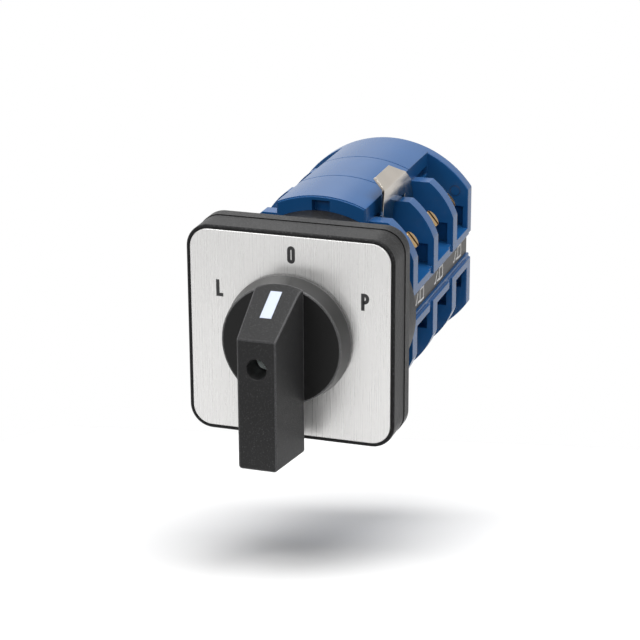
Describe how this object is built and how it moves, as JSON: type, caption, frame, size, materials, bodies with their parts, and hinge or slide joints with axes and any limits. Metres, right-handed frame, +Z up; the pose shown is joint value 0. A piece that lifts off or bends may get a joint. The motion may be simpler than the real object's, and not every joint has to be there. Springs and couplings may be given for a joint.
{
  "type": "rotary cam switch",
  "caption": "Panel-mounted rotary cam switch: pointer handle on a square front plate, a round latch housing and stacked contact stages with screw terminals and a jumper link.",
  "frame": {"origin": "on the shaft's axis, in the plane where the front frame and the mounting plate clamp the panel", "axes": "+X right, +Y back along the shaft away from the handle, +Z up with the handle at its middle position"},
  "size_m": [0.0644, 0.133, 0.0738],
  "materials": {
    "brushed_plate": "brushed, with printed marks",
    "black_plastic": "fine grained",
    "knob_plastic": "satin",
    "marker_white": "smooth",
    "zinc_steel": "zinc plated",
    "spring_steel": "drawn wire",
    "blue_plastic": "satin moulded",
    "strip_plastic": "smooth, with printed marks",
    "brass": "turned",
    "plated_sheet": "satin plated sheet",
    "cam_plastic": "smooth moulded",
    "plunger_plastic": "smooth moulded",
    "latch_plastic": "smooth moulded"
  },
  "bodies": {
    "switch_frame": {"legend_plate": "brushed_plate", "front_bezel": "black_plastic", "mounting_plate": "black_plastic", "latch_housing": "black_plastic", "latch_spring_right": "spring_steel", "latch_spring_left": "spring_steel", "rear_cover": "blue_plastic", "tie_bolts": "zinc_steel", "jumper_link": "plated_sheet", "label_strip_right": "strip_plastic", "label_strip_left": "strip_plastic", "stage_housing_1": "blue_plastic", "terminal_clamps_1": "zinc_steel", "terminal_screws_1": "brass", "spring_1_right": "spring_steel", "spring_1_left": "spring_steel", "fixed_contact_1_upper_right": "brass", "fixed_contact_1_lower_right": "brass", "fixed_contact_1_upper_left": "brass", "fixed_contact_1_lower_left": "brass", "stage_housing_2": "blue_plastic", "terminal_clamps_2": "zinc_steel", "terminal_screws_2": "brass", "spring_2_right": "spring_steel", "spring_2_left": "spring_steel", "fixed_contact_2_upper_right": "brass", "fixed_contact_2_lower_right": "brass", "fixed_contact_2_upper_left": "brass", "fixed_contact_2_lower_left": "brass", "stage_housing_3": "blue_plastic", "terminal_clamps_3": "zinc_steel", "terminal_screws_3": "brass", "spring_3_right": "spring_steel", "spring_3_left": "spring_steel", "fixed_contact_3_upper_right": "brass", "fixed_contact_3_lower_right": "brass", "fixed_contact_3_upper_left": "brass", "fixed_contact_3_lower_left": "brass"},
    "rotor": {"handle": "knob_plastic", "handle_marker": "marker_white", "handle_screw": "zinc_steel", "shaft": "zinc_steel", "latch_star": "latch_plastic", "cam_1": "cam_plastic", "cam_2": "cam_plastic", "cam_3": "cam_plastic"},
    "latch_slider_right": {"latch_slider_right": "latch_plastic"},
    "plunger_1_right": {"plunger_1_right": "plunger_plastic", "bridge_1_right": "brass"},
    "plunger_2_right": {"plunger_2_right": "plunger_plastic", "bridge_2_right": "brass"},
    "plunger_3_right": {"plunger_3_right": "plunger_plastic", "bridge_3_right": "brass"},
    "latch_slider_left": {"latch_slider_left": "latch_plastic"},
    "plunger_1_left": {"plunger_1_left": "plunger_plastic", "bridge_1_left": "brass"},
    "plunger_2_left": {"plunger_2_left": "plunger_plastic", "bridge_2_left": "brass"},
    "plunger_3_left": {"plunger_3_left": "plunger_plastic", "bridge_3_left": "brass"}
  },
  "joints": [
    {"name": "handle_turn", "type": "hinge", "parent": "switch_frame", "child": "rotor", "pos_m": [0, 0, 0], "axis": [0, 1, 0], "range_deg": [-60, 60]},
    {"name": "plunger_1_right_slide", "type": "slide", "parent": "switch_frame", "child": "plunger_1_right", "axis": [1, 0, 0], "range_m": [-0.00181, 0.00181], "deforming": ["spring_1_right"]},
    {"name": "plunger_2_right_slide", "type": "slide", "parent": "switch_frame", "child": "plunger_2_right", "axis": [1, 0, 0], "range_m": [-0.00181, 0.00181], "deforming": ["spring_2_right"]},
    {"name": "plunger_3_right_slide", "type": "slide", "parent": "switch_frame", "child": "plunger_3_right", "axis": [1, 0, 0], "range_m": [-0.00181, 0.00181], "deforming": ["spring_3_right"]},
    {"name": "plunger_1_left_slide", "type": "slide", "parent": "switch_frame", "child": "plunger_1_left", "axis": [1, 0, 0], "range_m": [-0.00181, 0.00181], "deforming": ["spring_1_left"]},
    {"name": "plunger_2_left_slide", "type": "slide", "parent": "switch_frame", "child": "plunger_2_left", "axis": [1, 0, 0], "range_m": [-0.00181, 0.00181], "deforming": ["spring_2_left"]},
    {"name": "plunger_3_left_slide", "type": "slide", "parent": "switch_frame", "child": "plunger_3_left", "axis": [1, 0, 0], "range_m": [-0.00181, 0.00181], "deforming": ["spring_3_left"]},
    {"name": "latch_slider_right_slide", "type": "slide", "parent": "switch_frame", "child": "latch_slider_right", "axis": [-1, 0, 0], "range_m": [0, 0.0015], "stiffness_N_per_m": 400, "deforming": ["latch_spring_right"]},
    {"name": "latch_slider_left_slide", "type": "slide", "parent": "switch_frame", "child": "latch_slider_left", "axis": [1, 0, 0], "range_m": [0, 0.0015], "stiffness_N_per_m": 400, "deforming": ["latch_spring_left"]}
  ],
  "couplings": [
    {"joint": "plunger_1_right_slide", "follows": "handle_turn", "m_per_rad": -0.0017189},
    {"joint": "plunger_2_right_slide", "follows": "handle_turn", "m_per_rad": -0.0017189},
    {"joint": "plunger_3_right_slide", "follows": "handle_turn", "m_per_rad": -0.0017189},
    {"joint": "plunger_1_left_slide", "follows": "handle_turn", "m_per_rad": -0.0017189},
    {"joint": "plunger_2_left_slide", "follows": "handle_turn", "m_per_rad": -0.0017189},
    {"joint": "plunger_3_left_slide", "follows": "handle_turn", "m_per_rad": -0.0017189}
  ]
}
